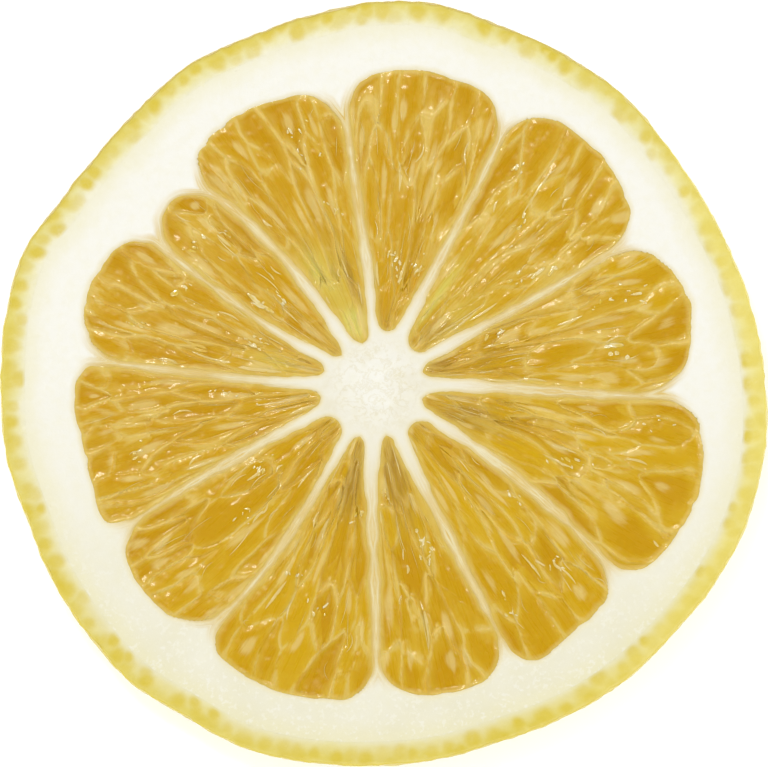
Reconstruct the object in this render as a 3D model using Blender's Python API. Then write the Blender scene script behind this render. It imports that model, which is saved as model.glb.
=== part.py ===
"""Lemon slice: a round cut across the fruit, lying on one of its two cut faces.

Peel, pith, membranes, core and pulp have grown together, so the slice is one solid. Its rim follows
the fruit's uneven skin, and each of its twelve segments is a shallow bed on both cut faces, where
the pulp sinks along its membranes and swells again in the middle.

Units are metres, +Z is up. The origin is the middle of the core on the underside.
"""

import math

import bmesh
import bpy
from mathutils import Vector

MM = 0.001

# Driving dimensions of the slice, in millimetres
THICKNESS = 6.0
RIM_BULGE = 0.2  # how far the skin stands out between the two cut edges
RIM_RADII = (  # from the core to the skin, every 10 degrees, counterclockwise from +X
    30.5, 30.1, 29.7, 29.45, 29.5, 29.8, 29.75, 29.7, 30.1, 29.95, 29.35, 29.0,
    29.0, 28.5, 28.3, 28.6, 29.5, 29.5, 29.35, 29.5, 29.3, 29.6, 29.85, 30.2,
    30.0, 30.3, 30.1, 29.85, 29.8, 29.65, 30.0, 30.3, 30.4, 30.8, 31.0, 30.9,
)
RIM_POINTS = 144
RIM_LEVELS = 4  # steps up the skin, from one cut edge to the other

# A membrane's direction in degrees where it meets the pith, half way along it and near the core
MEMBRANE_STATIONS = (22.0, 14.0, 7.0)
MEMBRANES = (
    (-2.4, -2.3, -0.7),
    (29.5, 28.4, 28.3),
    (63.2, 62.7, 63.3),
    (96.3, 95.6, 93.4),
    (132.3, 127.2, 124.6),
    (147.0, 149.5, 153.0),
    (175.4, 176.5, 178.8),
    (209.5, 208.0, 206.7),
    (236.4, 239.9, 240.8),
    (270.0, 269.4, 267.0),
    (296.2, 295.6, 294.6),
    (322.5, 326.0, 328.4),
)
MEMBRANE_THICKNESS = 0.6

# A segment's reach from the core at a quarter, half and three quarters of its width, then its tip
SEGMENTS = (
    (24.6, 25.2, 24.6, 3.7),
    (24.6, 25.0, 24.8, 3.9),
    (24.4, 24.7, 24.4, 4.2),
    (23.2, 23.6, 23.2, 3.3),
    (21.2, 21.4, 21.2, 3.4),
    (23.2, 23.5, 23.2, 4.1),
    (23.5, 23.3, 23.6, 4.4),
    (24.0, 24.2, 24.0, 4.1),
    (24.7, 25.0, 24.9, 4.2),
    (24.3, 24.6, 24.5, 3.9),
    (24.9, 24.8, 24.7, 4.2),
    (26.1, 26.4, 25.9, 3.7),
)
OUTER_CORNER = 2.6  # radius of a segment's two corners at the pith
TIP_CORNER = 1.0  # radius of its two corners at the core
OUTLINE_POINTS = 32

# The pulp's bed: how far in from the membrane, and how deep under the cut face
BED_LEVELS = ((0.0, 0.45), (0.7, 0.25), (1.6, 0.12))
CUTTER_REACH = 1.0  # how far a cutter stands clear of the cut face
SHARP_ANGLE = math.radians(40)


def quadratic(x, stations, values):
    """The parabola through three stations, at x."""
    total = 0.0
    for i, at in enumerate(stations):
        others = [s for j, s in enumerate(stations) if j != i]
        total += values[i] * math.prod((x - s) / (at - s) for s in others)
    return total


def rim_radius(angle):
    """The skin's distance from the core at an angle in radians, by a smooth closed curve."""
    count = len(RIM_RADII)
    place = angle / (2 * math.pi) * count
    start = math.floor(place)
    t = place - start
    before, here, after, later = (RIM_RADII[(start + k) % count] for k in (-1, 0, 1, 2))
    rise = (after - before) / 2
    next_rise = (later - here) / 2
    bend = 3 * (after - here) - 2 * rise - next_rise
    twist = 2 * (here - after) + rise + next_rise
    return here + rise * t + bend * t * t + twist * t * t * t


def membrane_angle(index, radius):
    """The direction of a membrane's middle at a distance from the core, in radians."""
    turn, row = divmod(index, len(MEMBRANES))
    inside = max(MEMBRANE_STATIONS[-1], min(MEMBRANE_STATIONS[0] + 2, radius))
    return math.radians(360 * turn + quadratic(inside, MEMBRANE_STATIONS, MEMBRANES[row]))


def wall_distances(index, x, y):
    """How far a point lies outside each of a segment's four walls, negative inside."""
    radius = max(math.hypot(x, y), 0.01)
    low = membrane_angle(index, radius)
    high = membrane_angle(index + 1, radius)
    middle = (low + high) / 2
    angle = middle + math.remainder(math.atan2(y, x) - middle, 2 * math.pi)
    share = max(0.0, min(1.0, (angle - low) / (high - low)))
    *reach, tip = SEGMENTS[index]
    half = MEMBRANE_THICKNESS / 2
    return (
        radius * math.sin(max(-1.5, low - angle)) + half,
        radius * math.sin(min(1.5, angle - high)) + half,
        radius - quadratic(share, (0.25, 0.5, 0.75), reach),
        tip - radius,
    )


def rounded(first, second, corner):
    """Two wall distances joined by a round corner."""
    a = max(first + corner, 0.0)
    b = max(second + corner, 0.0)
    return min(max(first, second), -corner) + math.hypot(a, b)


def outline_distance(index, x, y):
    """How far a point lies outside a segment's rounded outline, negative inside."""
    low, high, outer, tip = wall_distances(index, x, y)
    side = max(low, high)
    return max(rounded(side, outer, OUTER_CORNER), rounded(side, tip, TIP_CORNER))


def segment_middle(index):
    """A point on a segment's middle line from which its whole outline can be seen."""
    *reach, tip = SEGMENTS[index]
    radius = 0.62 * reach[1] + 0.38 * tip
    angle = (membrane_angle(index, radius) + membrane_angle(index + 1, radius)) / 2
    return radius * Vector((math.cos(angle), math.sin(angle)))


def walk_out(index, bearing, inset):
    """Goes from a segment's middle on a bearing until the outline is inset millimetres away."""
    middle = segment_middle(index)
    way = Vector((math.cos(bearing), math.sin(bearing)))
    near, far = 0.0, SEGMENTS[index][1]
    for _ in range(24):
        half_way = (near + far) / 2
        point = middle + way * half_way
        if outline_distance(index, point.x, point.y) < -inset:
            near = half_way
        else:
            far = half_way
    return middle + way * near


def outline_bearings(index):
    """The bearings from a segment's middle that space points evenly along its outline."""
    fine = [2 * math.pi * step / (OUTLINE_POINTS * 8) for step in range(OUTLINE_POINTS * 8)]
    points = [walk_out(index, bearing, 0.0) for bearing in fine]
    lengths = [(b - a).length for a, b in zip(points, points[1:] + points[:1])]
    step = sum(lengths) / OUTLINE_POINTS
    bearings, walked = [], 0.0
    for bearing, length in zip(fine, lengths):
        if walked >= len(bearings) * step:
            bearings.append(bearing)
        walked += length
    return bearings


def clear_scene():
    for item in list(bpy.data.objects):
        bpy.data.objects.remove(item)


def new_collection(name):
    collection = bpy.data.collections.new(name)
    bpy.context.scene.collection.children.link(collection)
    return collection


def add_object(name, bm, collection):
    bmesh.ops.recalc_face_normals(bm, faces=bm.faces)
    mesh = bpy.data.meshes.new(name)
    bm.to_mesh(mesh)
    bm.free()
    mesh.shade_smooth()
    mesh.set_sharp_from_angle(angle=SHARP_ANGLE)
    made = bpy.data.objects.new(name, mesh)
    collection.objects.link(made)
    return made


def lemon_material():
    """Wet lemon flesh, the surface that covers most of both cut faces."""
    material = bpy.data.materials.new("lemon_flesh")
    material.use_nodes = True
    shader = material.node_tree.nodes["Principled BSDF"]
    shader.inputs["Base Color"].default_value = (0.70, 0.42, 0.05, 1.0)
    shader.inputs["Roughness"].default_value = 0.35
    shader.inputs["Metallic"].default_value = 0.0
    return material


def drawn_up(bm, face):
    """Extrudes one face and gives back the new one at the far end."""
    made = bmesh.ops.extrude_face_region(bm, geom=[face, *face.edges])["geom"]
    return next(item for item in made if isinstance(item, bmesh.types.BMFace))


def slice_body(collection):
    """The disc between the two cuts: a circle drawn out to the skin and raised level by level."""
    bm = bmesh.new()
    bmesh.ops.create_circle(bm, cap_ends=True, segments=RIM_POINTS, radius=1.0)
    face = next(iter(bm.faces))
    shape_rim(face, 0)
    for level in range(1, RIM_LEVELS + 1):
        face = drawn_up(bm, face)
        shape_rim(face, level)
    return add_object("lemon_slice", bm, collection)


def shape_rim(face, level):
    """Moves one ring of the rim to the skin, which bulges a little between the cut edges."""
    share = level / RIM_LEVELS
    bulge = RIM_BULGE * (4 * share * (1 - share) - 1)
    for corner in face.verts:
        angle = math.atan2(corner.co.y, corner.co.x)
        radius = (rim_radius(angle) + bulge) * MM
        corner.co = (radius * math.cos(angle), radius * math.sin(angle), share * THICKNESS * MM)


def bed_cutter(index, from_top, collection):
    """What is left empty over one segment: its outline drawn up, over a crowned floor."""
    face_height, away = (THICKNESS, 1) if from_top else (0.0, -1)
    middle = segment_middle(index)
    bm = bmesh.new()
    start = [walk_out(index, bearing, 0.0) for bearing in outline_bearings(index)]
    height = face_height + away * CUTTER_REACH
    face = bm.faces.new([bm.verts.new((p.x * MM, p.y * MM, height * MM)) for p in start])
    for inset, depth in BED_LEVELS:
        face = drawn_up(bm, face)
        height = face_height - away * depth
        for corner in face.verts:
            across = corner.co.xy / MM - middle
            place = walk_out(index, math.atan2(across.y, across.x), inset)
            corner.co = (place.x * MM, place.y * MM, height * MM)
    cutter = add_object(f"bed_{'top' if from_top else 'bottom'}_{index + 1:02d}", bm, collection)
    cutter.hide_render = True
    cutter.display_type = "WIRE"
    return cutter


clear_scene()
parts = new_collection("lemon_slice")
cutters = new_collection("cutters")
lemon = slice_body(parts)
lemon.data.materials.append(lemon_material())
for number in range(len(SEGMENTS)):
    bed_cutter(number, True, cutters)
    bed_cutter(number, False, cutters)
sink = lemon.modifiers.new("segment_beds", "BOOLEAN")
sink.operation = "DIFFERENCE"
sink.operand_type = "COLLECTION"
sink.collection = cutters
sink.solver = "EXACT"
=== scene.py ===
"""A slice cut straight across a lemon, lying on one of its two cut faces.

It goes together from the outside in: the peel, then the white pith with its membranes and core, then
the twelve wedges of pulp with what hangs loose on them. Lengths are in millimetres until a piece is
finished, and the core stands on the origin.
"""

import itertools
import math

import bmesh
import bpy
import numpy as np
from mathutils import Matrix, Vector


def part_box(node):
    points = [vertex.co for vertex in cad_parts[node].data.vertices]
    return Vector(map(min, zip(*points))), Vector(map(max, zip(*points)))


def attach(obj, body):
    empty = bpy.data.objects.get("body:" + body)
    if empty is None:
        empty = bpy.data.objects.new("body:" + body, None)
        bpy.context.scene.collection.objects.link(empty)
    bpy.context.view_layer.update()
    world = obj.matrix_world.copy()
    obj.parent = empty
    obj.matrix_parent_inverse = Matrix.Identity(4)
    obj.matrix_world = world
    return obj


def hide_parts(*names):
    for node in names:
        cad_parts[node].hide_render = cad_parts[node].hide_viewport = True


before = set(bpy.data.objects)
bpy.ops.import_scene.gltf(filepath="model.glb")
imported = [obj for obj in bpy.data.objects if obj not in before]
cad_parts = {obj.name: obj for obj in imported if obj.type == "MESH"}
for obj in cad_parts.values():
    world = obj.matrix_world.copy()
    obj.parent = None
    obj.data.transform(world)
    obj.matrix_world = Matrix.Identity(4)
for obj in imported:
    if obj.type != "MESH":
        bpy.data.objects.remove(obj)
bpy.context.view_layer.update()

# ---------------------------------------------------------------------------------------------
# Peel: the waxy yellow skin, under two millimetres deep and full of round oil glands. The knife has
# cut some of them open on both faces, and the others dimple the skin round the rim. Inwards the
# yellow thins out until the peel is pith.

MM = 0.001
low_corner, high_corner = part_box("lemon_slice")
UNDER, FACE = low_corner.z / MM, high_corner.z / MM
MIDDLE = (UNDER + FACE) / 2
THICKNESS = FACE - UNDER
SKIN_MEAN = 30.0  # the skin's usual distance from the core, which makes a direction an arc
AROUND = 2 * math.pi * SKIN_MEAN
PEEL_DEPTH = 2.45
PITH_DEPTH = 2.0  # where the pith starts, its edge lying on the peel's inner edge
RIM_DRAW = 0.12  # how far the skin falls back from its middle to the two cut edges
PEEL_STEPS = 1200
PEEL_FINENESS = 0.14
EDGE_ROUND = 0.12
ROLL = 20.0  # the peel's strip is first rolled up round a hole of this radius
PEEL_TUCK = 0.4  # its inner edge dips this far under the pith
SKIN_WAVE = 0.05
SKIN_DIMPLE = 0.13
SKIN_SLACK = 0.02  # keeps the waves inside the slice's full width

solid = np.array([corner.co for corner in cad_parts["lemon_slice"].data.vertices]) / MM
waist = solid[np.abs(solid[:, 2] - MIDDLE) < 0.05]
waist_angle = np.arctan2(waist[:, 1], waist[:, 0])
waist_order = np.argsort(waist_angle)


def skin_radius(angle):
    """How far the skin's middle stands from the core in a direction."""
    radius = np.hypot(waist[:, 0], waist[:, 1])
    return np.interp(angle, waist_angle[waist_order], radius[waist_order], period=2 * np.pi)


def lumps(places, size, seed):
    """Smooth random swelling from -1 to 1, its lumps about a size apart, in two or three directions."""
    ways = places.shape[1]
    lattice = np.random.default_rng(seed).uniform(-1, 1, (32,) * ways)
    cell = np.floor(places / size).astype(int)
    part = places / size - cell
    part = part * part * (3 - 2 * part)
    total = np.zeros(len(places))
    for corner in itertools.product((0, 1), repeat=ways):
        share = np.where(np.array(corner) == 1, part, 1 - part).prod(axis=1)
        total += share * lattice[tuple(((cell + corner) % 32).T)]
    return total


def ease(value, start, end):
    """0 up to the start and 1 from the end on, with a soft passage between."""
    part = np.clip((value - start) / (end - start), 0, 1)
    return part * part * (3 - 2 * part)


def finish_piece(name, bm, shape, finish):
    """Makes a piece of a bmesh: shape moves its points, in millimetres, and gives its surface data."""
    mesh = bpy.data.meshes.new(name)
    bm.to_mesh(mesh)
    points = np.empty(len(mesh.vertices) * 3)
    mesh.vertices.foreach_get("co", points)
    places, data = shape(points.reshape(-1, 3))
    mesh.vertices.foreach_set("co", places.ravel())
    bm.clear()
    bm.from_mesh(mesh)
    bmesh.ops.recalc_face_normals(bm, faces=bm.faces)
    bmesh.ops.scale(bm, verts=bm.verts, vec=(MM, MM, MM))
    bm.to_mesh(mesh)
    bm.free()
    for label, values in data.items():
        if values.ndim == 1:
            layer = mesh.attributes.new(label, "FLOAT", "POINT")
            layer.data.foreach_set("value", values.astype(np.float32))
        else:
            layer = mesh.attributes.new(label, "FLOAT_VECTOR", "POINT")
            layer.data.foreach_set("vector", values.astype(np.float32).ravel())
    mesh.shade_smooth()
    mesh.set_sharp_from_angle(angle=math.radians(65))
    mesh.materials.append(finish)
    mesh.update()
    piece = bpy.data.objects.new(name, mesh)
    bpy.context.scene.collection.objects.link(piece)
    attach(piece, "root")
    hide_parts("lemon_slice")
    return piece


SLICE_SHARE = 0.55  # the whitest pith sends back this much of what falls on it


def paint(red, green, blue):
    """A colour from 0 to 255 as it looks on the slice, turned into what the surface sends back."""
    light = [SLICE_SHARE * ((c / 255 + 0.055) / 1.055) ** 2.4 for c in (red, green, blue)]
    return (*light, 1.0)


class Link:
    """An output of a material's node. Sums and products of links add their own Math nodes."""

    def __init__(self, finish, socket):
        self.finish = finish
        self.socket = socket

    def maths(self, operation, first, second):
        made = self.finish.node("ShaderNodeMath", {"operation": operation}, {0: first, 1: second})
        return Link(self.finish, made.outputs[0])

    def __add__(self, other):
        return self.maths("ADD", self, other)

    def __radd__(self, other):
        return self.maths("ADD", other, self)

    def __sub__(self, other):
        return self.maths("SUBTRACT", self, other)

    def __rsub__(self, other):
        return self.maths("SUBTRACT", other, self)

    def __mul__(self, other):
        return self.maths("MULTIPLY", self, other)

    def __rmul__(self, other):
        return self.maths("MULTIPLY", other, self)

    def __pow__(self, other):
        return self.maths("POWER", self, other)

    def __abs__(self):
        return self.maths("ABSOLUTE", self, 0.0)


class Finish:
    """A material: the nodes that colour it, and the one shader they feed."""

    def __init__(self, name, **settings):
        self.material = bpy.data.materials.new(name)
        self.material.use_nodes = True
        self.tree = self.material.node_tree
        self.shader = self.tree.nodes["Principled BSDF"]
        for label, value in settings.items():
            self.shader.inputs[label.replace("_", " ")].default_value = value

    def node(self, kind, settings, inputs):
        made = self.tree.nodes.new(kind)
        for label, value in settings.items():
            setattr(made, label, value)
        for label, value in inputs.items():
            if isinstance(value, Link):
                self.tree.links.new(value.socket, made.inputs[label])
            else:
                made.inputs[label].default_value = value
        return made

    def data(self, label):
        made = self.node("ShaderNodeAttribute", {"attribute_name": label}, {})
        return Link(self, made.outputs["Fac"])

    def place(self, label=None):
        """Where the surface is: on the object itself, or in one of its own data layers."""
        if label:
            made = self.node("ShaderNodeAttribute", {"attribute_name": label}, {})
            return Link(self, made.outputs["Vector"])
        return Link(self, self.node("ShaderNodeTexCoord", {}, {}).outputs["Object"])

    def stretched(self, place, by):
        made = self.node("ShaderNodeVectorMath", {"operation": "MULTIPLY"}, {0: place, 1: by})
        return Link(self, made.outputs[0])

    def grain(self, place, scale, detail=2.0, roughness=0.5, warp=0.0):
        sockets = {"Vector": place, "Scale": scale, "Detail": detail, "Roughness": roughness}
        made = self.node("ShaderNodeTexNoise", {}, {**sockets, "Distortion": warp})
        return Link(self, made.outputs["Fac"])

    def fade(self, value, start, end):
        settings = {"interpolation_type": "SMOOTHSTEP"}
        sockets = {"Value": value, "From Min": start, "From Max": end}
        return Link(self, self.node("ShaderNodeMapRange", settings, sockets).outputs["Result"])

    def mix(self, share, first, second, blend="MIX"):
        settings = {"data_type": "RGBA", "blend_type": blend, "clamp_factor": True}
        made = self.node("ShaderNodeMix", settings, {0: share, 6: first, 7: second})
        return Link(self, made.outputs[2])

    def feed(self, label, value):
        self.tree.links.new(value.socket, self.shader.inputs[label])

    def relief(self, height, depth, strength=1.0):
        sockets = {"Height": height, "Distance": depth * MM, "Strength": strength}
        made = self.node("ShaderNodeBump", {}, sockets)
        self.tree.links.new(made.outputs["Normal"], self.shader.inputs["Normal"])


PITH_WHITE = paint(254, 252, 241)
PITH_LOWER_TINT = paint(242, 237, 208)
# the core's warm ivory, also used as painted shade in its wrinkles and hollows
CORE_IVORY_AND_SHADE = paint(226, 212, 162)
PEEL_PALE = paint(242, 233, 166)
PEEL_YELLOW = paint(234, 218, 106)
GLAND_YELLOW = paint(226, 200, 24)
SKIN_YELLOW = paint(238, 218, 82)
SKIN_SHADED = paint(200, 172, 56)
PEEL_BRIGHT = paint(255, 240, 130)
PEEL_LOWER_TINT = paint(225, 199, 48)


def peel_profile():
    """The band's section as (depth under the skin, height), once round from its inner top edge."""
    corner = [math.radians(a) for a in (0, 30, 60, 90)]
    top = [(d, FACE) for d in np.arange(PEEL_DEPTH, EDGE_ROUND, -PEEL_FINENESS)]
    top += [
        (EDGE_ROUND * (1 - math.sin(a)), FACE - EDGE_ROUND * (1 - math.cos(a))) for a in corner
    ]
    side_steps = round(THICKNESS / 2 / PEEL_FINENESS)
    side = [(0.0, h) for h in np.linspace(FACE - EDGE_ROUND, MIDDLE, side_steps)[1:]]
    upper = top + side
    lower = [(d, 2 * MIDDLE - h) for d, h in reversed(upper[:-1])]
    return upper + lower


def peel_ring():
    """A flat strip rolled up along the profile and bent round the core, closed both ways."""
    profile = peel_profile()
    bm = bmesh.new()
    bmesh.ops.create_grid(bm, x_segments=PEEL_STEPS, y_segments=len(profile), size=1)
    for corner in bm.verts:
        angle = math.pi * corner.co.x
        depth, height = profile[round((corner.co.y + 1) / 2 * len(profile)) % len(profile)]
        radius = ROLL + PEEL_DEPTH - depth
        corner.co = (radius * math.cos(angle), radius * math.sin(angle), height)
    bmesh.ops.remove_doubles(bm, verts=bm.verts, dist=1e-3)
    return bm


GLAND_SIZES = (0.55, 0.95)
GLAND_STRENGTHS = (0.4, 1.0)
GLAND_STEPS = (0.65, 1.4)  # the next gland lies between these shares of the spacing further on
GLAND_REACH = 1.3
GLAND_SPACING = 1.55
PORE_SPACING = 1.25
OPEN_GLAND = 0.05  # how deep a gland is that the knife has opened
GLAND_JOSTLE = ((0.08, 18), (0.1, 19))  # how far its outline strays along and across the rind


def scattered_glands(seed, rows, spacing):
    """Oil glands as (arc, depth, radius, strength), one row after another and jostled out of line."""
    draw = np.random.default_rng(seed)
    glands = []
    for depth, wander, share in rows:
        arc = 0.0
        while arc < AROUND:
            if draw.random() < share:
                down = depth + draw.uniform(-wander, wander)
                size, strength = draw.uniform(*GLAND_SIZES), draw.uniform(*GLAND_STRENGTHS)
                glands.append((arc, down, size, strength))
            arc += spacing * draw.uniform(*GLAND_STEPS)
    return np.array(glands)


def gland_caps(arc, depth, glands):
    """How far inside a gland a point is: its strength in its middle and 0 at its edge and outside."""
    best = np.zeros(len(arc))
    for at, down, size, strength in glands:
        apart = (arc - at + AROUND / 2) % AROUND - AROUND / 2
        near = np.abs(apart) < GLAND_REACH
        away = np.hypot(apart[near], depth[near] - down) / size
        best[near] = np.maximum(best[near], strength * ease(away, 1.2, 0.35))
    return best


FACE_SINK = 0.07  # how far the cut faces lie inside the slice's full height on average
FACE_LUMPS = ((0.025, 0.45, 30), (0.03, 1.6, 31))  # how high, how wide, and which random pattern
SIDES_APART = 50.0  # the two cut faces are this far apart in the random patterns


def cut_face(x, y, side):
    """How far the knife's face lies under the highest level: a spongy surface that is nearly flat."""
    flat = np.stack([x, y, SIDES_APART * side + 0 * x], axis=1)
    return FACE_SINK - sum(height * lumps(flat, size, seed) for height, size, seed in FACE_LUMPS)


CUT_ROWS = ((0.2, 0.1, 0.4), (0.76, 0.22, 0.97), (1.3, 0.15, 0.25))
SKIN_ROWS = tuple((h, 0.3, 0.9) for h in np.arange(0.6, THICKNESS, 1.05))


def shaped_peel(points):
    angle = np.arctan2(points[:, 1], points[:, 0])
    depth = ROLL + PEEL_DEPTH - np.hypot(points[:, 0], points[:, 1])
    height = points[:, 2]
    arc = (angle % (2 * np.pi)) * SKIN_MEAN
    flat = np.stack([np.cos(angle) * SKIN_MEAN, np.sin(angle) * SKIN_MEAN, height], axis=1)
    bow = RIM_DRAW * (2 * (height - MIDDLE) / THICKNESS) ** 2
    strays = [stray * lumps(flat, 0.5, seed) for stray, seed in GLAND_JOSTLE]
    upper, lower = (
        gland_caps(arc + strays[0], depth + strays[1], scattered_glands(n, CUT_ROWS, GLAND_SPACING))
        for n in (11, 12)
    )
    cut = np.where(height > MIDDLE, upper, lower) * ease(depth, PITH_DEPTH - 0.05, PITH_DEPTH - 0.4)
    pore = gland_caps(arc, height, scattered_glands(13, SKIN_ROWS, PORE_SPACING))
    on_side = 1 - ease(depth, 0.0, 0.25)
    waves = SKIN_WAVE * (lumps(flat, 2.3, 14) + lumps(flat, 0.9, 15)) - SKIN_DIMPLE * pore
    radius = skin_radius(angle) - bow - depth + waves * on_side - SKIN_SLACK
    away = np.sign(height - MIDDLE)
    x, y = radius * np.cos(angle), radius * np.sin(angle)
    sink = (1 - on_side) * (cut_face(x, y, away) + OPEN_GLAND * cut)
    sink += PEEL_TUCK * ease(depth, PITH_DEPTH + 0.22, PEEL_DEPTH)
    height = height - away * sink
    gland = cut * (1 - on_side) + 0.5 * pore * on_side
    data = {
        "depth": depth,
        "gland": gland,
        "skin": on_side,
        "low": ease(y, 5.0, -24.0),
        "shaded": ease(y - 0.3 * x, 8.0, 26.0),
        "brighter_right": ease(x, 8.0, 26.0) * ease(y, 24.0, 8.0),
    }
    return np.stack([x, y, height], axis=1), data


def rind_colour(finish):
    """The cut rind's colour by its depth under the skin, the same on the peel and on the pith."""
    spot = finish.place()
    mottle = finish.grain(spot, 1100, 4.0, 0.7)
    patches = finish.grain(spot, 220, 2.0)
    deep = finish.data("depth") + (mottle - 0.5) * 0.9 + (patches - 0.5) * 1.8
    # darker and warmer towards the bottom of the slice
    white = finish.mix(finish.data("low") * (patches + 0.35), PITH_WHITE, PITH_LOWER_TINT)
    white = finish.mix(finish.fade(deep, 4.0, 1.8) * 0.4, white, PEEL_PALE)
    yellow = finish.mix(finish.fade(deep, 0.2, 1.3), PEEL_YELLOW, PEEL_PALE)
    return finish.mix(finish.fade(deep, 1.0, 2.1), yellow, white)


peel = Finish("peel", Roughness=0.42)
spot = peel.place()
mottle = peel.grain(spot, 1500, 4.0, 0.7)
yellow = peel.mix(peel.data("gland") * (0.35 + mottle * 1.1), rind_colour(peel), GLAND_YELLOW)
waxy = peel.mix(peel.data("gland") * 0.9, SKIN_YELLOW, GLAND_YELLOW)
yellow = peel.mix(peel.data("skin"), yellow, waxy)
yellow = peel.mix(peel.data("shaded") * peel.data("skin") * 0.8, yellow, SKIN_SHADED)
yellow = peel.mix(peel.fade(mottle, 0.5, 0.75) * 0.25, yellow, PEEL_PALE)
# the rind brighter and yellower towards the right of the slice
brighter_right = peel.data("brighter_right") * peel.fade(peel.data("depth"), 1.8, 0.9)
yellow = peel.mix(brighter_right * 0.45, yellow, PEEL_BRIGHT)
# the rind darker towards the bottom of the slice
lower_tint = peel.data("low") * peel.fade(peel.data("depth"), 1.95, 1.3)
yellow = peel.mix(lower_tint * 0.25, yellow, PEEL_LOWER_TINT)
peel.feed("Base Color", yellow)
peel.feed("Roughness", 0.3 + mottle * 0.25)
peel.relief(mottle, 0.06, 0.7)
finish_piece("peel", peel_ring(), shaped_peel, peel.material)

# ---------------------------------------------------------------------------------------------
# Pith: the white spongy layer under the peel, the twelve thin membranes that part the segments and
# the core that they meet in. They are one growth, so one piece with an opening for each segment.

STATIONS = (22.0, 14.0, 7.0)  # distances from the core
MEMBRANES = (  # each membrane's direction in degrees and its thickness, at the three stations
    ((-2.4, -2.3, -0.7), (0.9, 1.0, 1.1)),
    ((29.5, 28.4, 28.3), (0.6, 0.7, 0.85)),
    ((63.2, 62.7, 63.3), (0.7, 0.85, 1.05)),
    ((96.3, 95.6, 93.4), (0.6, 0.9, 0.75)),
    ((132.3, 127.2, 124.6), (0.9, 0.75, 0.95)),
    ((147.0, 149.5, 153.0), (0.8, 0.55, 0.7)),
    ((175.4, 176.5, 178.8), (0.8, 0.75, 0.8)),
    ((209.5, 208.0, 206.7), (0.6, 0.85, 0.75)),
    ((236.4, 239.9, 240.8), (0.7, 0.55, 0.85)),
    ((270.0, 269.4, 267.0), (0.85, 0.9, 1.1)),
    ((296.2, 295.6, 294.6), (0.65, 0.8, 1.0)),
    ((322.5, 326.0, 328.4), (0.7, 0.85, 0.8)),
)
SEGMENTS = (  # reach from the core at a quarter, half and three quarters of the width, then the tip
    (24.6, 25.2, 24.6, 3.7),
    (24.6, 25.0, 24.8, 3.9),
    (24.4, 24.7, 24.4, 4.2),
    (23.2, 23.6, 23.2, 3.3),
    (21.2, 21.4, 21.2, 3.4),
    (23.2, 23.5, 23.2, 4.1),
    (23.5, 23.3, 23.6, 4.4),
    (24.0, 24.2, 24.0, 4.1),
    (24.7, 25.0, 24.9, 4.2),
    (24.3, 24.6, 24.5, 3.9),
    (24.9, 24.8, 24.7, 4.2),
    (26.1, 26.4, 25.9, 3.7),
)
OUTER_CORNER = 2.6
HEAD_WIDTH = 2.4  # the outermost juice sacs swell the outline between small notches
NOTCH = 0.13
TIP_CORNER = 0.75
COUNT = len(SEGMENTS)
MEMBRANE_SHARE = 0.94  # a membrane keeps this share of its stated thickness in the open cut
OUTER_THINNING = 0.2  # and that much less of it towards the pith
CORE_FLARE = 0.12
HEAD_LINE = 22.0  # the outermost sacs are counted at this distance from the core


def parabola(x, at, values):
    """The curve through three values at three places, at x."""
    total = 0.0
    for i, here in enumerate(at):
        others = [place for j, place in enumerate(at) if j != i]
        total = total + values[i] * np.prod([(x - p) / (here - p) for p in others], axis=0)
    return total


def membrane(index, radius):
    """A membrane's direction in radians and its half thickness, at a distance from the core."""
    turn, row = divmod(index, COUNT)
    inside = np.clip(radius, STATIONS[-1], STATIONS[0] + 2)
    directions, widths = MEMBRANES[row]
    angle = np.radians(360 * turn + parabola(inside, STATIONS, directions))
    thinning = MEMBRANE_SHARE - OUTER_THINNING * ease(radius, 13.0, 20.0)
    flare = CORE_FLARE * ease(radius, 8.0, 3.6)
    return angle, parabola(inside, STATIONS, widths) / 2 * thinning + flare


def round_join(first, second, corner):
    """Two distances to walls joined by a round corner."""
    a = np.maximum(first + corner, 0)
    b = np.maximum(second + corner, 0)
    return np.minimum(np.maximum(first, second), -corner) + np.hypot(a, b)


def share_across(index, angle, radius):
    """Where an angle lies between a segment's two membranes, from 0 to 1."""
    low = membrane(index, radius)[0]
    high = membrane(index + 1, radius)[0]
    middle = (low + high) / 2
    turned = middle + (angle - middle + np.pi) % (2 * np.pi) - np.pi
    return (turned - low) / (high - low)


def outline(index, x, y):
    """How far a point lies outside a segment's rounded outline, negative inside."""
    radius = np.maximum(np.hypot(x, y), 0.01)
    low, low_half = membrane(index, radius)
    high, high_half = membrane(index + 1, radius)
    share = share_across(index, np.arctan2(y, x), radius)
    span = (high - low) * share
    side = np.maximum(
        low_half - radius * np.sin(np.clip(span, -1.5, 1.5)),
        high_half - radius * np.sin(np.clip(high - low - span, -1.5, 1.5)),
    )
    *reach, tip = SEGMENTS[index]
    flat = np.stack([x, y], axis=1)
    wobble = 0.22 * lumps(flat, 2.1, 20) + 0.08 * lumps(flat, 0.8, 21)
    outer = radius - parabola(np.clip(share, 0, 1), (0.25, 0.5, 0.75), reach) - wobble
    arc = HEAD_LINE * (membrane(index + 1, HEAD_LINE)[0] - membrane(index, HEAD_LINE)[0])
    heads = np.round(arc / HEAD_WIDTH)
    swell = np.abs(np.sin(np.pi * (share * heads + 0.3 * lumps(flat, 2.6, 24))))
    outer = outer + NOTCH * (1 - swell) ** 2 * (0.6 + lumps(flat, 3.1, 25)) - 0.05
    side = side + 0.08 * lumps(flat, 0.7, 22) + 0.11 * lumps(flat, 1.9, 23)
    return np.maximum(
        round_join(side, outer, OUTER_CORNER),
        round_join(side, tip - radius, TIP_CORNER),
    )


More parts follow.
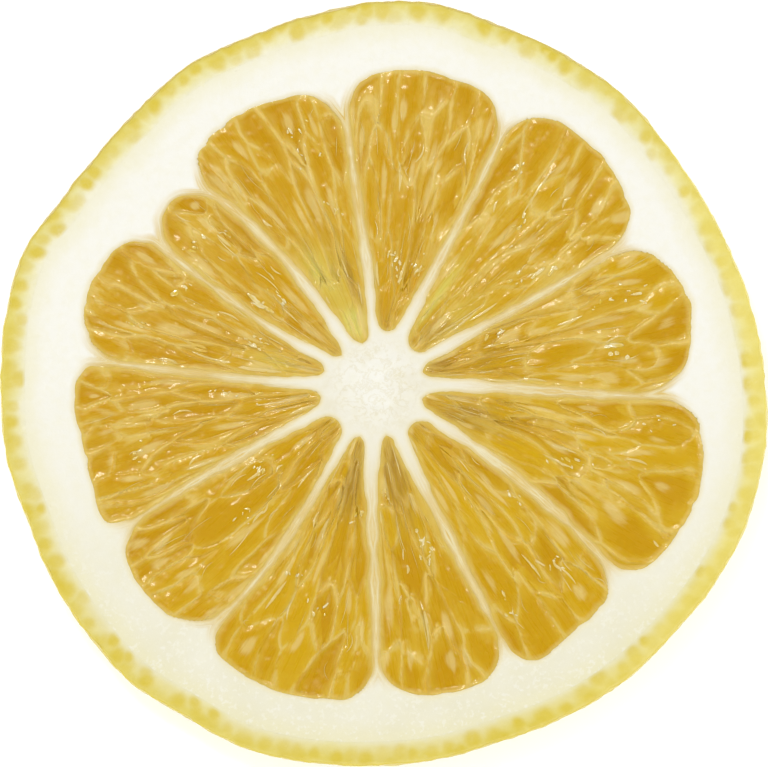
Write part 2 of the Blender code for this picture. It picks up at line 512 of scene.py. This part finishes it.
def nearest_outline(x, y):
    """The distance outside the nearest segment."""
    angle, radius = np.arctan2(y, x), np.hypot(x, y)
    best = np.full(len(x), 99.0)
    for index in range(COUNT):
        share = share_across(index, angle, np.maximum(radius, 0.01))
        near = (np.abs(share - 0.5) < 1.0) | (radius < 5)
        best[near] = np.minimum(best[near], outline(index, x[near], y[near]))
    return best


BESIDE = (0.0, 0.1, 0.2, 0.3, 0.4, 0.5, 0.6, 0.72, 0.86, 1.02, 1.2)  # lines beside a membrane
LINES_BETWEEN = 32
LINES = 2 * len(BESIDE) - 1 + LINES_BETWEEN
CORE_RINGS = np.linspace(0, 4.6, 30)
MEMBRANE_RINGS = np.linspace(4.6, 20, 42)
PITH_RINGS = 42
HOLE_EDGE = -0.55  # the openings' walls stand this far inside the segments' outlines
RIM_WIDTH = 0.25  # a soft rim leads down to the pulp
RIM_SLOPE = 0.4
EDGE_LIFT = 0.012  # the pith stands this far over the peel where they meet


def line_angle(line, radius):
    """The direction of one of the sheet's lines, which run along the membranes."""
    index, step = divmod(line, LINES)
    low = membrane(index, radius)[0]
    high = membrane(index + 1, radius)[0]
    reach = np.maximum(radius, 6.5)
    last = len(BESIDE) - 1
    if step <= last:
        return low + BESIDE[step] / reach
    if step >= LINES - last:
        return high - BESIDE[LINES - step] / reach
    start = low + BESIDE[-1] / reach
    end = high - BESIDE[-1] / reach
    return start + (end - start) * (step - last) / (LINES_BETWEEN + 1)


def pith_sheet():
    """A flat web drawn along the membranes, without the segments, then raised to its thickness."""
    rings = len(CORE_RINGS) + len(MEMBRANE_RINGS) + PITH_RINGS - 1
    bm = bmesh.new()
    bmesh.ops.create_grid(bm, x_segments=COUNT * LINES, y_segments=rings - 1, size=1)
    grid = np.array([corner.co for corner in bm.verts])
    line = np.rint((grid[:, 0] + 1) / 2 * COUNT * LINES).astype(int)
    ring = np.rint((grid[:, 1] + 1) / 2 * (rings - 1)).astype(int)
    inner = np.concatenate([CORE_RINGS, MEMBRANE_RINGS[1:]])
    places = np.zeros((len(grid), 2))
    for each in range(COUNT * LINES + 1):
        chosen = line == each
        steps = ring[chosen]
        far = line_angle(each, np.array([25.0]))[0]
        outer = skin_radius(far) - PITH_DEPTH
        outwards = np.linspace(MEMBRANE_RINGS[-1], outer, PITH_RINGS + 1)[1:]
        radii = np.concatenate([inner, outwards])[steps]
        angles = line_angle(each, radii)
        places[chosen] = np.stack([radii * np.cos(angles), radii * np.sin(angles)], axis=1)
    inside = nearest_outline(places[:, 0], places[:, 1]) < HOLE_EDGE
    for corner, (x, y), hidden in zip(bm.verts, places, inside):
        corner.co = (x, y, 0)
        corner.tag = bool(hidden)
    opened = [face for face in bm.faces if all(corner.tag for corner in face.verts)]
    bmesh.ops.delete(bm, geom=opened, context="FACES")
    bmesh.ops.remove_doubles(bm, verts=bm.verts, dist=1e-5)
    raised = bmesh.ops.extrude_face_region(bm, geom=list(bm.faces))["geom"]
    tops = [item for item in raised if isinstance(item, bmesh.types.BMVert)]
    bmesh.ops.translate(bm, verts=tops, vec=(0, 0, 1))
    return bm


def shaped_pith(points):
    x, y = points[:, 0], points[:, 1]
    top = points[:, 2] > 0.5
    away = np.where(top, 1, -1)
    outside = nearest_outline(x, y)
    radius = np.hypot(x, y)
    angle = np.arctan2(y, x)
    depth = skin_radius(angle) - radius
    flat = np.stack([x, y, SIDES_APART * away], axis=1)
    core = 1 - ease(radius, 2.2, 4.4)
    crumbs = core * (0.05 * lumps(flat, 1.1, 32) + 0.05 * lumps(flat, 0.4, 33) - 0.01)
    drop = RIM_SLOPE * np.clip(RIM_WIDTH - outside, 0, 1) + 0.9 * ease(outside, -0.08, -0.5)
    raised = crumbs + EDGE_LIFT * ease(depth, PITH_DEPTH + 0.8, PITH_DEPTH)
    height = MIDDLE + away * (THICKNESS / 2 - cut_face(x, y, away) - drop + raised)
    grain = np.stack([outside * 4, radius * 0.5, np.round(angle * 6 / np.pi)], axis=1)
    return np.stack([x, y, height], axis=1), {
        "outside": outside,
        "depth": depth,
        "low": ease(y, 5.0, -24.0),
        "radius": radius,
        "crumb": crumbs,
        "flow": grain,
    }


MEMBRANE_CREAM = paint(230, 192, 84)
MEMBRANE_EDGE = paint(228, 192, 88)
PITH_RIM = paint(245, 231, 176)
pith = Finish("pith", Roughness=0.6)
spot = pith.place()
sponge = pith.grain(spot, 1400, 4.0, 0.65)
flow = pith.place("flow")
fibre = pith.grain(flow, 1.0, 3.0, 0.6)
strands = pith.grain(pith.stretched(flow, (1.6, 0.5, 1.0)), 1.0, 4.0, 0.7, 0.3)
white = rind_colour(pith)
wrinkles = pith.grain(spot, 900, 4.0, 0.7, 0.3)
# painted shade: the core's wrinkles are drawn as darker lines, and the hollows between its crumbs are
# coloured darker
crack_shade = pith.fade(abs(wrinkles - 0.5), 0.05, 0.0) * pith.fade(pith.data("radius"), 4.4, 2.2)
pit_shade = pith.fade(pith.data("crumb") + (sponge - 0.5) * 0.1, -0.02, -0.09)
flecks = pith.fade(pith.grain(spot, 2800, 2.0, 0.6), 0.52, 0.68) * pith.data("low")
white = pith.mix(flecks * 0.55, white, PITH_WHITE)
white = pith.mix(pith.fade(sponge, 0.4, 0.7) * 0.12, white, PEEL_PALE)
# partly the pith's own warm ivory and partly painted light: the core's very middle is kept white as a
# painted highlight
inner = pith.fade(pith.data("radius"), 1.0, 4.0) * pith.fade(pith.data("radius"), 16.0, 10.0)
outside = pith.data("outside") + (sponge - 0.5) * 0.2
warm = pith.fade(pith.grain(spot, 420, 3.0, 0.6), 0.45, 0.7) * pith.fade(pith.data("radius"), 0.8, 2.0)
warm = warm * pith.fade(pith.data("radius"), 6.0, 4.0)
# mixes in the warm ivory: painted shade in wrinkles and crumb hollows, the core's own warm mottling,
# and a darker tone away from the middle
white = pith.mix(crack_shade * 0.3 + pit_shade * 0.15 + inner * 0.22 + warm * 0.2, white, CORE_IVORY_AND_SHADE)
beside = pith.fade(outside, 0.26, -0.02) * pith.fade(pith.data("depth"), 5.5, 8.5)
white = pith.mix(beside * 0.55, white, MEMBRANE_EDGE)
on_membrane = pith.fade(pith.data("depth"), 5.5, 8.5) * pith.fade(pith.data("radius"), 4.0, 13.0)
on_membrane = on_membrane * pith.fade(pith.data("outside"), 1.0, 0.5)
white = pith.mix(pith.fade(outside, 0.5, 0.0) * 0.6, white, PITH_RIM)
cream = pith.mix(pith.fade(strands, 0.35, 0.65), MEMBRANE_CREAM, PITH_RIM)
cream = pith.mix(pith.fade(outside, 0.3, 0.02), cream, MEMBRANE_EDGE)
white = pith.mix(on_membrane * (0.6 + fibre * 0.6), white, cream)
pith.feed("Base Color", white)
pith.feed("Roughness", 0.4 + sponge * 0.3)
pith.relief(sponge + strands * on_membrane * 2.0, 0.08, 0.6)
finish_piece("pith", pith_sheet(), shaped_pith, pith.material)

# ---------------------------------------------------------------------------------------------
# Pulp: each segment is packed with juice sacs, drop-shaped skins that hang from the pith with their
# tails to the core. The knife opened some down to their juice and left others whole and domed.

ROWS = (  # juice sacs by where their heads lie, how wide, long and crowded they are there
    (24.0, 26.5, 1.30, 6.5, 0.62),
    (19.5, 23.5, 1.15, 8.5, 0.53),
    (15.0, 19.5, 1.05, 9.0, 0.42),
    (11.0, 15.0, 0.95, 8.0, 0.34),
    (7.5, 11.0, 0.80, 6.5, 0.30),
    (5.0, 7.5, 0.60, 4.0, 0.26),
)
ROUND_SACS = (  # segment, head, share across, half width and length of short sacs cut across
    (4, 21.2, 0.27, 0.95, 2.1),
    (6, 23.3, 0.2, 0.85, 2.3),
    (11, 25.6, 0.5, 1.4, 3.6),
    (11, 19.4, 0.88, 0.9, 4.6),
)
TOP_GRID = (140, 230)  # the pulp's points across and along a segment
UNDER_GRID = (84, 138)
UNDERCUT = 0.25  # how far the pulp reaches under the membranes and the pith
HEAD_SHARE = 0.22  # a sac's round head is this share of its length, and the rest is its tail
SAC_STRAY = ((0.028, 0.7), (0.002, 2.2))  # how far sacs bend across the segment, and how quickly
SAC_STRAY_ALONG = 0.3
DOME, BOWL, BOWL_LIP = 0.10, 0.12, 0.06  # a whole sac's height, an opened one's depth and its wall's
RIPPLES = ((0.012, (3.5, 1.2), 5), (0.05, (1.0, 1.0), 6))  # how high, how close, which pattern
SAC_TILT = 0.06
STAINS = (  # places where the sacs have aged: direction, distance from the core, spread both ways
    ("green", 109.0, 4.9, 14.0, 1.2, 1.2),
    ("green", 118.0, 10.0, 4.0, 2.0, 0.6),
    ("brown", 104.0, 8.8, 2.5, 2.2, 1.0),
    ("green", 55.0, 8.2, 2.6, 3.2, 1.0),
    ("brown", 43.0, 6.4, 6.0, 1.6, 1.0),
    ("brown", 257.0, 6.5, 5.0, 3.0, 0.9),
    ("brown", 282.0, 6.4, 8.0, 2.4, 0.8),
    ("brown", 338.0, 7.0, 8.0, 2.2, 0.6),
    ("brown", 18.0, 4.9, 9.0, 1.2, 0.7),
    ("green", 168.0, 8.0, 6.0, 2.4, 0.5),
    ("brown", 220.0, 5.4, 6.0, 1.2, 0.4),
    ("brown", 14.0, 9.0, 13.0, 4.0, 0.5),
    ("brown", 345.0, 9.5, 13.0, 4.5, 0.5),
    ("brown", 282.0, 9.0, 9.0, 4.0, 0.45),
    ("brown", 256.0, 9.0, 9.0, 3.5, 0.4),
    ("green", 112.0, 8.0, 10.0, 4.0, 0.5),
    ("green", 40.0, 8.0, 8.0, 3.0, 0.4),
)


def segment_width(index, radius):
    low, low_half = membrane(index, radius)
    high, high_half = membrane(index + 1, radius)
    return (high - low) * radius - low_half - high_half


def draw_sacs(index, seed):
    """The segment's juice sacs: head, share across, half width, length, slant, lift and looks."""
    draw = np.random.default_rng(seed)
    *reach, tip = SEGMENTS[index]
    sacs = []
    for near, far, half, length, crowd in ROWS:
        middle = min((near + far) / 2, reach[1] - 0.5)
        count = max(2, round(float(segment_width(index, middle)) / half * crowd))
        for each in range(count):
            head = min(draw.uniform(near, far), reach[1] + draw.uniform(-0.5, 0.3))
            sacs.append((
                head,
                (each + 0.5 + draw.uniform(-0.35, 0.35)) / count,
                half * draw.uniform(0.7, 1.25),
                length * draw.uniform(0.7, 1.35),
                draw.uniform(-0.13, 0.13),
                draw.uniform(0, 0.9),
                draw.random(),
                draw.random(),
                draw.uniform(-1, 1),
            ))
    for segment, *sac in ROUND_SACS:
        if segment == index:
            sacs.append((*sac, 0.0, 2.2, 0.9, 0.95, 0.0))
    return np.array(sacs)


def sac_field(index, x, y, seed):
    """What the pulp is like at each point: which sac owns it, and how far its skin is."""
    radius = np.hypot(x, y)
    share = share_across(index, np.arctan2(y, x), radius)
    width = np.maximum(segment_width(index, radius), 0.3)
    flow = np.stack([share * 9, radius * 0.45], axis=1)
    for number, (stray, quick) in enumerate(SAC_STRAY):
        share = share + stray * lumps(flow * quick, 1.0, seed + 1 + number)
    radius = radius + SAC_STRAY_ALONG * lumps(flow, 1.0, seed + 3)
    best = np.full(len(x), -1e9)
    second = np.full(len(x), -1e9)
    keep = {name: np.zeros(len(x)) for name in ("q", "slope", "tone", "open", "t", "a", "tilt")}
    second_slope = np.ones(len(x))
    for head, middle, half, length, slant, lift, tone, opened, tilt in draw_sacs(index, seed):
        t = (head - radius) / length
        spread = (width / max(float(segment_width(index, head)), 0.5)) ** 0.75
        taper = np.clip(1 - np.maximum(t - HEAD_SHARE, 0) / 0.9, 0.1, 1) ** 0.7
        local = np.maximum(half * spread * taper, 0.05)
        a = (share - middle - slant * t) * width
        rounding = np.maximum((HEAD_SHARE - t) / HEAD_SHARE, 0)
        q = (a / local) ** 2 + rounding**2 + np.maximum(t - 1, 0) * 30
        q = q + 0.8 * np.maximum(t - 0.4, 0)
        slope = 2 * np.abs(a) / local**2 + 2 * rounding / (HEAD_SHARE * length)
        f = lift - q
        wins = f > best
        loses = ~wins & (f > second)
        second = np.where(wins, best, np.where(loses, f, second))
        second_slope = np.where(wins, keep["slope"], np.where(loses, slope, second_slope))
        best = np.where(wins, f, best)
        for name, value in (
            ("q", q), ("slope", slope), ("tone", tone), ("open", opened),
            ("t", t), ("a", a / local), ("tilt", tilt),
        ):
            keep[name] = np.where(wins, value, keep[name])
    keep["wall"] = (best - second) / np.maximum(keep["slope"] + second_slope, 0.8)
    return keep


def pulp_place(index, across, along):
    """Where a point of the segment lies that is so far across it and along it, both from 0 to 1."""
    *reach, tip = SEGMENTS[index]
    start, end = tip - 0.3, max(reach) + 0.5
    radius = start + (end - start) * along
    low, low_half = membrane(index, radius)
    high, high_half = membrane(index + 1, radius)
    first = low + (low_half - UNDERCUT) / radius
    last = high - (high_half - UNDERCUT) / radius
    angle = first + (last - first) * across
    return radius * np.cos(angle), radius * np.sin(angle), radius


def stain(kind, x, y):
    """How far a point is aged in one of the two ways, from 0 to 1."""
    radius, angle = np.hypot(x, y), np.degrees(np.arctan2(y, x))
    total = np.zeros(len(x))
    for each, direction, distance, spread, length, strength in STAINS:
        if each == kind:
            turn = (angle - direction + 180) % 360 - 180
            total += strength * np.exp(-((turn / spread) ** 2) - ((radius - distance) / length) ** 2)
    return total


def pulp_surface(index, side, across, along):
    """The pulp's points on one cut face, and what its finish needs to know there."""
    x, y, radius = pulp_place(index, across, along)
    seed = 1000 + 40 * index + (0 if side > 0 else 2000)
    edge = outline(index, x, y)
    sac = sac_field(index, x, y, seed)
    flow = np.stack([across * 9, radius * 0.4], axis=1)
    wall = sac["wall"]
    whole = ease(sac["open"], 0.62, 0.42)
    dome = DOME * (1 - np.exp(-wall / 0.35))
    bowl = BOWL_LIP * np.exp(-((wall / 0.10) ** 2)) - BOWL * (1 - np.exp(-wall / 0.16))
    level = whole * dome + (1 - whole) * bowl + SAC_TILT * sac["tilt"] * sac["a"]
    for height, close, pattern in RIPPLES:
        level += height * lumps(flow * close, 1.0, seed + pattern)
    sink = cut_face(x, y, side) + RIM_SLOPE * (RIM_WIDTH + np.maximum(edge, 0))
    sink += 0.6 * ease(edge, 0.1, 0.5)
    sink = np.maximum(sink - level * ease(edge, -0.02, -0.5), 0.05)
    # painted sheen: a pale patch along part of each sac's spine stands in for a lamp's soft reflection
    # on the wet sac
    where = sac["t"] - 0.2 - 0.4 * sac["tone"]
    painted_sheen = np.exp(-((where / 0.2) ** 2) - ((sac["a"] - 0.4 * sac["tilt"]) / 0.42) ** 2)
    spacing = 3 * np.sqrt(segment_width(index, radius))
    return np.stack([x, y, MIDDLE + side * (THICKNESS / 2 - sink)], axis=1), {
        "gap": wall,
        "tone": sac["tone"],
        "open": 1 - whole,
        "painted_sheen": painted_sheen * ease(sac["tone"], 0.15, 0.4),
        "edge": edge,
        "radius": radius,
        "green": stain("green", x, y) * (side > 0),
        "brown": stain("brown", x, y),
        "amber": ease(0.8 * y - x, -16.0, 20.0),
        "high": ease(y, -14.0, 8.0),
        "flow": np.stack([(across - 0.5) * spacing, radius, index + 15.0 * side + 0 * x], axis=1),
    }


def pulp_block():
    """Two sheets over each other, the upper one finer, joined round their edges."""
    bm = bmesh.new()
    sheets = []
    for height, (across, along) in ((0, UNDER_GRID), (1, TOP_GRID)):
        made = bmesh.ops.create_grid(bm, x_segments=across, y_segments=along, size=1)["verts"]
        bmesh.ops.translate(bm, verts=made, vec=(0, 0, height))
        sheets.append(made)
    rims = [edge for edge in bm.edges if edge.is_boundary]
    bmesh.ops.bridge_loops(bm, edges=rims)
    return bm


def shaped_pulp(index):
    def shape(points):
        across, along = (points[:, 0] + 1) / 2, (points[:, 1] + 1) / 2
        top = points[:, 2] > 0.5
        places = np.zeros((len(points), 3))
        data = {}
        for chosen, side in ((top, 1), (~top, -1)):
            places[chosen], found = pulp_surface(index, side, across[chosen], along[chosen])
            for label, values in found.items():
                data.setdefault(label, np.zeros((len(points), *values.shape[1:])))[chosen] = values
        return places, data

    return shape


JUICE = paint(215, 166, 4)
JUICE_DEEP = paint(210, 156, 0)
JUICE_LIGHT = paint(223, 177, 16)
JUICE_AMBER = paint(213, 159, 10)
SAC_WALL = paint(232, 195, 60)
SAC_WALL_PALE = paint(237, 203, 88)
WALL_EDGE = paint(249, 229, 152)
# the colour of the painted sheen on the sacs
SAC_SHEEN = paint(239, 209, 124)
AGED_TIP = paint(190, 150, 44)
AGED_GREEN = paint(234, 222, 112)
AGED_BROWN = paint(184, 142, 40)
PULP_EDGE = paint(236, 204, 104)

pulp = Finish(
    "pulp", Roughness=0.3, IOR=1.35, Subsurface_Weight=0.35, Subsurface_Scale=0.0007,
    Subsurface_Radius=(1.0, 0.6, 0.2), Specular_Tint=(1.0, 0.96, 0.75, 1.0),
    Coat_Weight=0.3, Coat_Roughness=0.06, Coat_IOR=1.33,
)
flow = pulp.place("flow")
streak = pulp.grain(pulp.stretched(flow, (3.2, 0.32, 1.0)), 1.0, 4.0, 0.6, 0.3)
cloud = pulp.grain(pulp.stretched(flow, (1.1, 0.35, 1.0)), 1.0, 3.0, 0.6)
speck = pulp.grain(pulp.stretched(flow, (5.0, 2.4, 1.0)), 1.0, 4.0, 0.7)
fibres = pulp.grain(pulp.stretched(flow, (2.6, 0.2, 1.0)), 1.0, 2.0, 0.6, 0.2)
gap = pulp.data("gap") + (speck - 0.5) * 0.12
outer = pulp.fade(pulp.data("radius"), 6.0, 18.0)
inside = pulp.fade(gap, 0.1, 0.8) * pulp.data("open")
blend = pulp.data("tone") + (streak - 0.5) * 0.15 + (cloud - 0.5) * 0.9
colour = pulp.mix(pulp.fade(blend, 0.1, 1.0), JUICE, JUICE_LIGHT)
colour = pulp.mix(pulp.data("amber") * 0.6, colour, JUICE_AMBER)
colour = pulp.mix(inside * 0.7, colour, JUICE_DEEP)
colour = pulp.mix(pulp.fade(pulp.data("radius") + cloud * 6, 10.5, 6.5) * 0.35, colour, AGED_TIP)
colour = pulp.mix(pulp.data("green") * (0.4 + streak), colour, AGED_GREEN)
colour = pulp.mix(pulp.fade(pulp.data("brown") + (streak - 0.5), 0.2, 0.8) * 0.8, colour, AGED_BROWN)
walls = pulp.mix(pulp.data("high") * outer, SAC_WALL, SAC_WALL_PALE)
halo = pulp.fade(gap, 0.32 + outer * 0.28, 0.0) * pulp.fade(cloud, 0.25, 0.6)
colour = pulp.mix(halo * (0.28 + outer * 0.25), colour, walls)
line = pulp.fade(abs(fibres - 0.5), 0.03, 0.004) * pulp.fade(streak, 0.42, 0.6)
line = line * pulp.fade(gap, 0.8, 0.2) * (0.08 + outer * 0.1)
colour = pulp.mix(line, colour, SAC_WALL)
# painted sheen: soft pale highlights laid over the sacs in the colour
painted_sheen = pulp.fade(pulp.data("painted_sheen") + (speck - 0.5) * 0.2 + (streak - 0.5) * 0.9, 0.3, 0.85)
colour = pulp.mix(painted_sheen * (0.45 + cloud * 0.6), colour, SAC_SHEEN)
crisp = pulp.fade(gap, 0.16, 0.03) * pulp.fade(cloud, 0.38, 0.55)
colour = pulp.mix(crisp * (0.12 + outer * 0.2), colour, WALL_EDGE)
colour = pulp.mix(pulp.fade(pulp.data("edge"), -0.5, 0.02) * 0.8, colour, PULP_EDGE)
pulp.feed("Base Color", colour)
pulp.feed("Roughness", 0.16 + streak * 0.25)
pulp.relief(streak * (0.1 + outer * 0.1) + line + crisp * 0.4, 0.05, 0.4)
for number in range(COUNT):
    finish_piece(f"pulp_{number + 1:02d}", pulp_block(), shaped_pulp(number), pulp.material)

# ---------------------------------------------------------------------------------------------
# Sac threads: where the knife tore through the sacs their skins have rolled up into pale threads
# and slivers, which lie along the sacs and stick to the wet pulp.

THREADS_EACH = 20
THREAD_POINTS = 13
THREAD_SIDES = 4
THREAD_HEIGHT = 0.03


def thread_path(index, side, draw):
    """A path over the pulp that runs along the sacs in a slow bend."""
    *reach, tip = SEGMENTS[index]
    length = draw.uniform(0.5, 2.2) * draw.uniform(0.8, 2.0) / (max(reach) + 0.8 - tip)
    start = draw.uniform(0.04, 0.94 - length)
    run = np.linspace(-1, 1, THREAD_POINTS)
    bend = draw.uniform(-0.02, 0.02) * run + draw.uniform(-0.03, 0.03) * run**2
    across = np.clip(draw.uniform(0.06, 0.94) + bend, 0.04, 0.96)
    return pulp_surface(index, side, across, start + length * (run + 1) / 2)[0]


def add_thread(bm, path, width, height):
    """A thread along a path, as a strip rolled up on it and thinning to both ends."""
    steps = len(path) - 1
    grid = bmesh.ops.create_grid(bm, x_segments=steps, y_segments=THREAD_SIDES, size=1)["verts"]
    forward = np.gradient(path, axis=0)
    sideways = np.cross(forward, (0, 0, 1))
    sideways /= np.maximum(np.linalg.norm(sideways, axis=1), 1e-9)[:, None]
    for corner in grid:
        step = round((corner.co.x + 1) / 2 * steps)
        turn = math.pi * corner.co.y
        thin = math.sin(math.pi * step / steps) ** 0.6 if 0 < step < steps else 0.0
        out = sideways[step] * math.cos(turn) * width * thin
        corner.co = path[step] + out + np.array((0, 0, math.sin(turn) * height * thin))


threads = bmesh.new()
draw = np.random.default_rng(7)
for index in range(COUNT):
    for side in (1, -1):
        for each in range(THREADS_EACH if side > 0 else THREADS_EACH // 3):
            width = draw.uniform(0.02, 0.04) if each % 4 else draw.uniform(0.06, 0.12)
            add_thread(threads, thread_path(index, side, draw), width, THREAD_HEIGHT)
bmesh.ops.remove_doubles(threads, verts=threads.verts, dist=1e-4)


def unchanged(points):
    return points, {}


thread_finish = Finish("sac_thread", Roughness=0.25, Coat_Weight=0.5, Coat_Roughness=0.05)
tint = thread_finish.grain(thread_finish.place(), 500, 3.0)
thread_finish.feed("Base Color", thread_finish.mix(tint, paint(222, 182, 70), paint(246, 224, 150)))
finish_piece("sac_threads", threads, unchanged, thread_finish.material)

# ---------------------------------------------------------------------------------------------
# Flakes: shreds of the sacs that burst under the knife, which stick together in wet little heaps and
# lie on the pulp along the sacs.

BIG_HEAPS = (  # segment, share across and share along of the largest heaps on the upper side
    (0, 0.33, 0.69),
    (1, 0.16, 0.59),
    (4, 0.76, 0.40),
    (5, 0.17, 0.65),
)
HEAPS = ((3, 6), (1, 6))  # heaps on a segment and flakes in a heap, on the upper and the under side
flakes = bmesh.new()
for index in range(COUNT):
    for side, (heaps, crowd) in zip((1, -1), HEAPS):
        spots = [(draw.uniform(0.15, 0.85), draw.uniform(0.2, 0.9)) for _ in range(heaps)]
        spots += [(across, along) for at, across, along in BIG_HEAPS if at == index and side > 0]
        for number, middle in enumerate(spots):
            largest = 0.11 if number < heaps else 0.2
            loose = np.clip(draw.normal(middle, (0.05, 0.03), (crowd, 2)), 0.12, 0.92)
            for spot in pulp_surface(index, side, loose[:, 0], loose[:, 1])[0]:
                made = bmesh.ops.create_uvsphere(flakes, u_segments=8, v_segments=5, radius=1)["verts"]
                round_places = np.array([corner.co for corner in made])
                ragged = 1 + 0.6 * lumps(round_places + draw.uniform(0, 30, 3), 0.6, 60)
                size = draw.uniform(0.04, largest) * np.array((draw.uniform(1.0, 4.0), 1.0, 0.3))
                turn = math.atan2(spot[1], spot[0]) + draw.normal(0, 0.5)
                across = np.array((-math.sin(turn), math.cos(turn), 0))
                onward = np.array((math.cos(turn), math.sin(turn), 0))
                for corner, place in zip(made, round_places * ragged[:, None] * size):
                    corner.co = spot + place[0] * onward + place[1] * across + (0, 0, place[2])
flake_finish = Finish("sac_flake", Roughness=0.15, Coat_Weight=0.8, Coat_Roughness=0.03)
swirl = flake_finish.grain(flake_finish.place(), 900, 2.0)
swirl = flake_finish.fade(swirl, 0.35, 0.65)
flake_finish.feed("Base Color", flake_finish.mix(swirl, SAC_WALL, paint(246, 228, 166)))
finish_piece("sac_flakes", flakes, unchanged, flake_finish.material)

# ---------------------------------------------------------------------------------------------
# Studio: a plain white table, soft light from all round, and a camera straight above the slice.

bpy.context.scene.view_settings.view_transform = "Standard"
CAMERA_HEIGHT = 600.0
FILM_WIDTH = 36.0
MARGIN = 1.003
middle_x = (low_corner.x + high_corner.x) / 2
middle_y = (low_corner.y + high_corner.y) / 2
table_mesh = bpy.data.meshes.new("table")
bm = bmesh.new()
bmesh.ops.create_grid(bm, x_segments=1, y_segments=1, size=3.0)
bm.to_mesh(table_mesh)
bm.free()
table = bpy.data.objects.new("table", table_mesh)
bpy.context.scene.collection.objects.link(table)
table.location.z = low_corner.z - 0.0001
table_mesh.materials.append(Finish("table", Roughness=0.9, Base_Color=(0.95, 0.95, 0.95, 1)).material)

camera_data = bpy.data.cameras.new("camera")
camera_data.sensor_width = FILM_WIDTH
width = (high_corner.x - low_corner.x) * MARGIN
camera_data.lens = FILM_WIDTH * CAMERA_HEIGHT * MM / width
camera_data.clip_start = 0.01
camera_data.clip_end = 10
camera = bpy.data.objects.new("camera", camera_data)
camera.location = (middle_x, middle_y, MIDDLE * MM + CAMERA_HEIGHT * MM)
bpy.context.scene.collection.objects.link(camera)
bpy.context.scene.camera = camera

world = bpy.data.worlds.new("studio")
bpy.context.scene.world = world
world.use_nodes = True
nodes, links = world.node_tree.nodes, world.node_tree.links
split = nodes.new("ShaderNodeSeparateXYZ")
links.new(nodes.new("ShaderNodeTexCoord").outputs["Generated"], split.inputs[0])
dimming = nodes.new("ShaderNodeMapRange")  # the tent is open at its top, where the camera looks in
dimming.interpolation_type = "SMOOTHSTEP"
for label, value in (("From Min", 0.82), ("From Max", 0.95), ("To Min", 1.0), ("To Max", 0.1)):
    dimming.inputs[label].default_value = value
links.new(split.outputs["Z"], dimming.inputs["Value"])
links.new(dimming.outputs["Result"], nodes["Background"].inputs["Color"])
nodes["Background"].inputs["Strength"].default_value = 1.775


def soft_light(name, azimuth, elevation, distance, size, power):
    """A square light that faces the slice from a direction, in degrees."""
    data = bpy.data.lights.new(name, "AREA")
    data.size = size
    data.energy = power
    lamp = bpy.data.objects.new(name, data)
    a, e = math.radians(azimuth), math.radians(elevation)
    lamp.location = (
        distance * math.cos(e) * math.cos(a),
        distance * math.cos(e) * math.sin(a),
        distance * math.sin(e),
    )
    lamp.rotation_euler = (math.pi / 2 - e, 0, a + math.pi / 2)
    bpy.context.scene.collection.objects.link(lamp)


soft_light("window", 115, 70, 0.6, 0.08, 0.82)
soft_light("fill", 250, 60, 0.6, 0.05, 0.165)
soft_light("side", 10, 60, 0.6, 0.05, 0.165)
